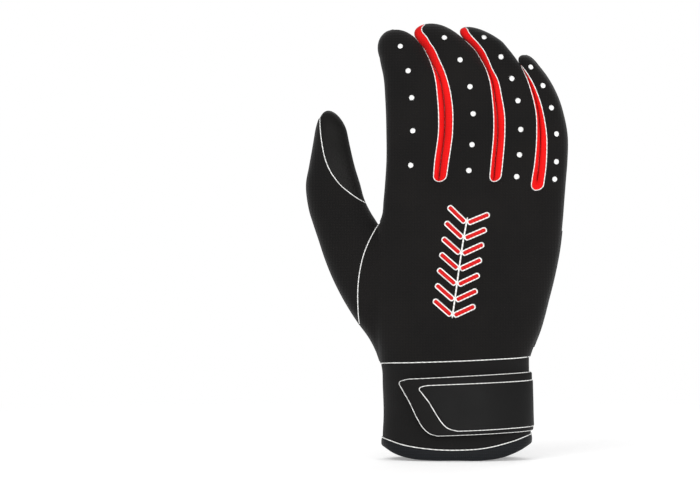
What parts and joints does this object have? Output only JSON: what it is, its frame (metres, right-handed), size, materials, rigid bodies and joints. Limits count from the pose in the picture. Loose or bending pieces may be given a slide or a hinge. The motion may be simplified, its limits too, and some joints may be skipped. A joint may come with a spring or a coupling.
{
  "type": "batting glove",
  "caption": "Right-hand batting glove with curved fingers, side strips between them, vent holes, a grip patch on the heel of the palm, an elastic cuff and a peel-open wrist strap.",
  "frame": {"origin": "middle of the glove's bounding box, on the ground under the hem of the cuff", "axes": "+Z along the fingers, -Y out of the back of the hand, +Y out of the palm, -X towards the thumb"},
  "size_m": [0.147, 0.0534, 0.2458],
  "materials": {
    "palm_leather": "soft matt",
    "back_fabric": "matt",
    "red_stretch": "matt",
    "grip_rubber": "satin",
    "cuff_neoprene": "matt",
    "hem_tape": "matt",
    "strap_laminate": "satin",
    "strap_cover": "satin",
    "hook_tape": "matt",
    "loop_tape": "matt",
    "white_knit": "matt"
  },
  "bodies": {
    "glove": {"palm_panel": "palm_leather", "back_panel": "back_fabric", "thumb_back_panel": "back_fabric", "fourchette_index_middle": "red_stretch", "fourchette_middle_ring": "red_stretch", "fourchette_ring_little": "red_stretch", "heel_patch": "grip_rubber", "cuff_band": "cuff_neoprene", "cuff_hem_binding": "hem_tape", "cuff_loop_patch": "loop_tape", "liner_index": "white_knit", "liner_middle": "white_knit", "liner_ring": "white_knit", "liner_little": "white_knit"},
    "strap": {"closure_strap": "strap_laminate", "strap_overlay": "strap_cover", "strap_hook_patch": "hook_tape"}
  },
  "joints": [
    {"name": "strap_peel", "type": "hinge", "parent": "glove", "child": "strap", "pos_m": [0.0558, 0.0018, 0.031], "axis": [0, 0, 1], "range_deg": [0, 115]}
  ]
}
